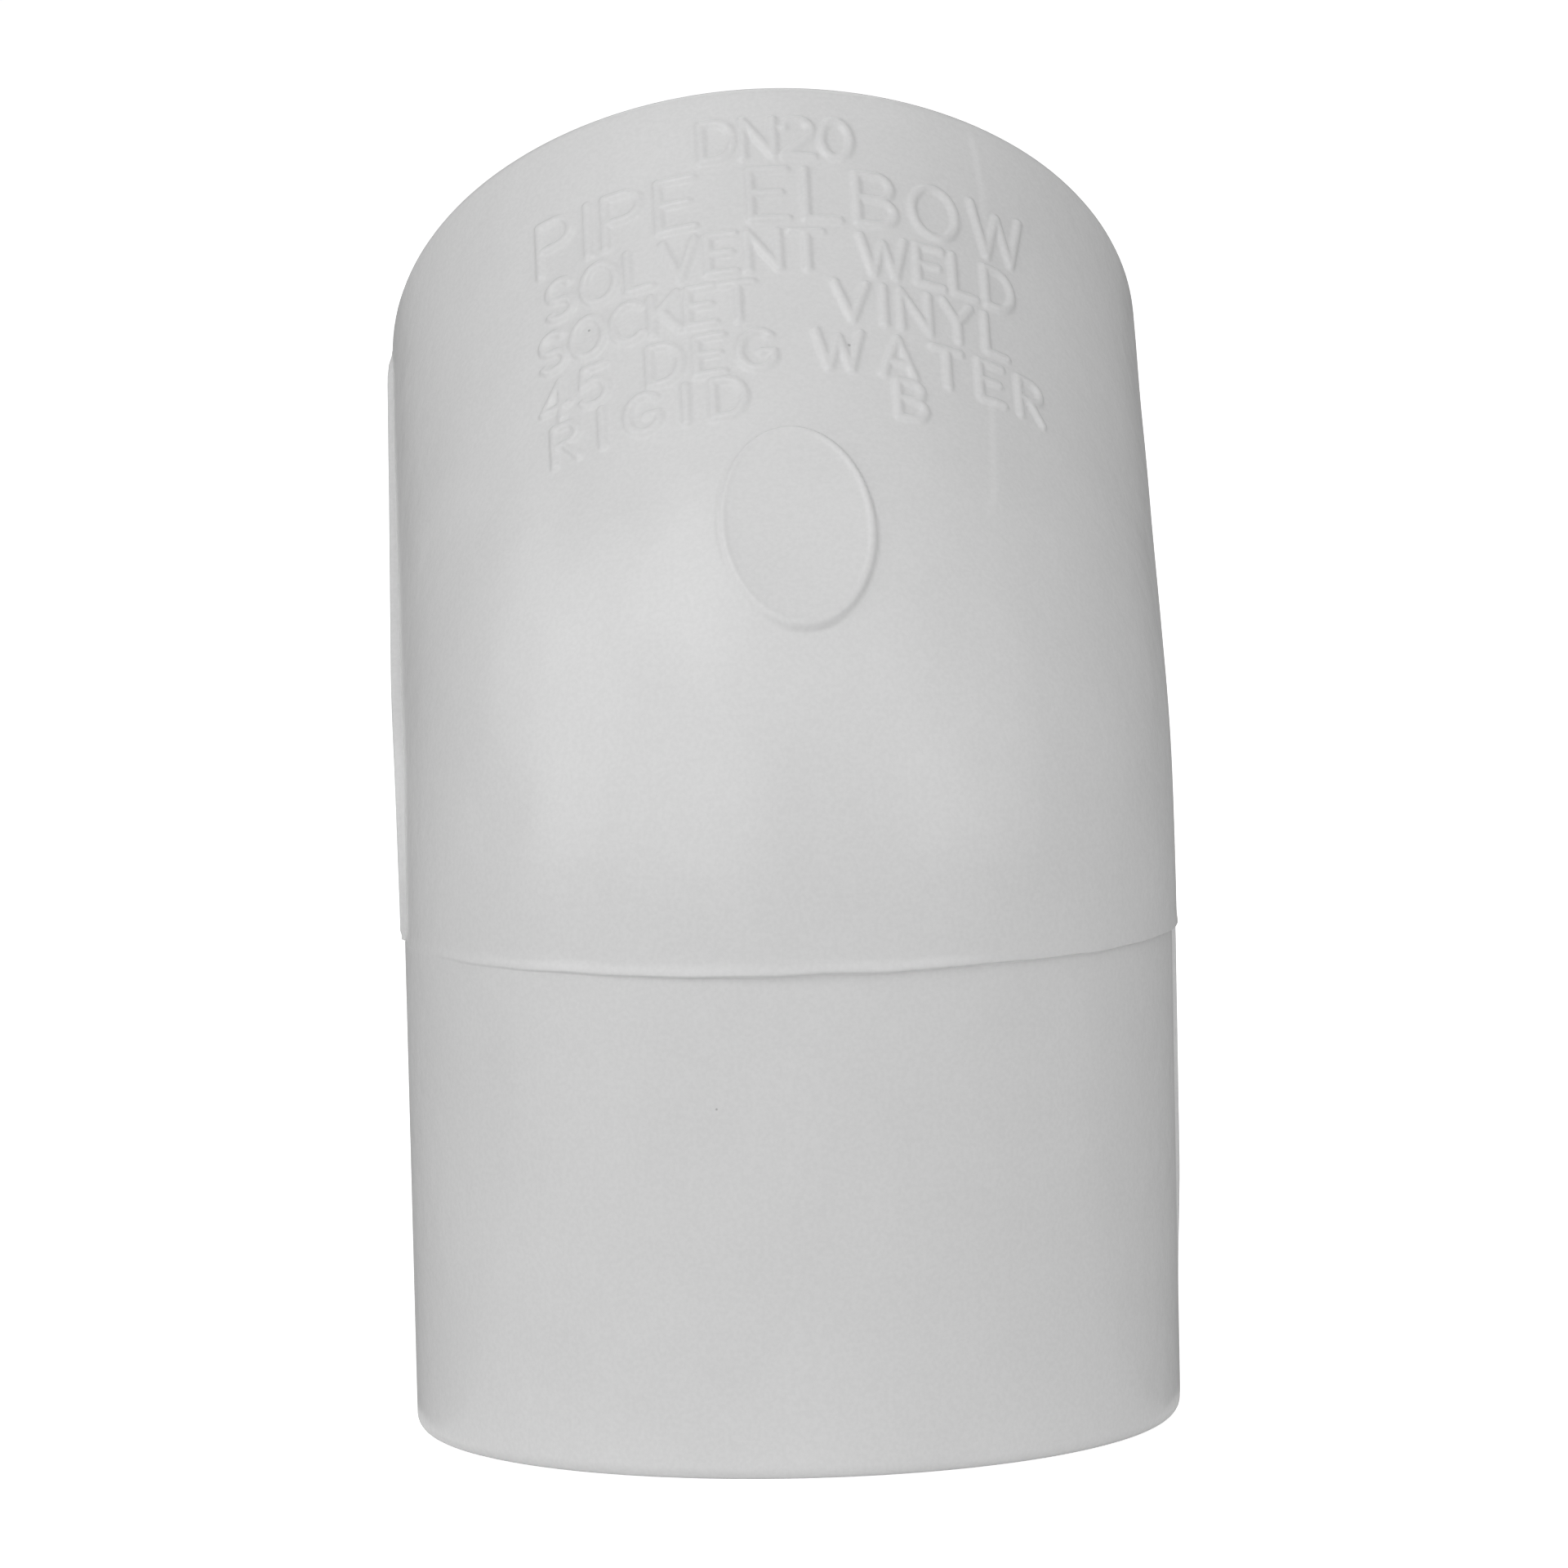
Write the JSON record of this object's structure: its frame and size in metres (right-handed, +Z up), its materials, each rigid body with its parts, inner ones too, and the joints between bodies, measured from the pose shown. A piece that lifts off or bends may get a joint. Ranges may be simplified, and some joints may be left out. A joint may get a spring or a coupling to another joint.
{
  "type": "pipe elbow",
  "caption": "White rigid PVC 45 degree pipe elbow with a solvent-weld socket at each end and a smooth bent waterway between them.",
  "frame": {"origin": "bottom centre of the elbow's bounding box, standing on the mouth face of its lower socket", "axes": "+Z up along the lower socket's axis, +Y the way the upper leg leans, so the bend lies in the YZ plane and its outer side faces -Y; +X is across the fitting, its narrowest side"},
  "size_m": [0.0334, 0.0472, 0.0575],
  "materials": {
    "white_pvc": "as-moulded white rigid PVC with a satin sheen and a very fine grain"
  },
  "bodies": {
    "root": {"elbow_body": "white_pvc"}
  },
  "joints": []
}
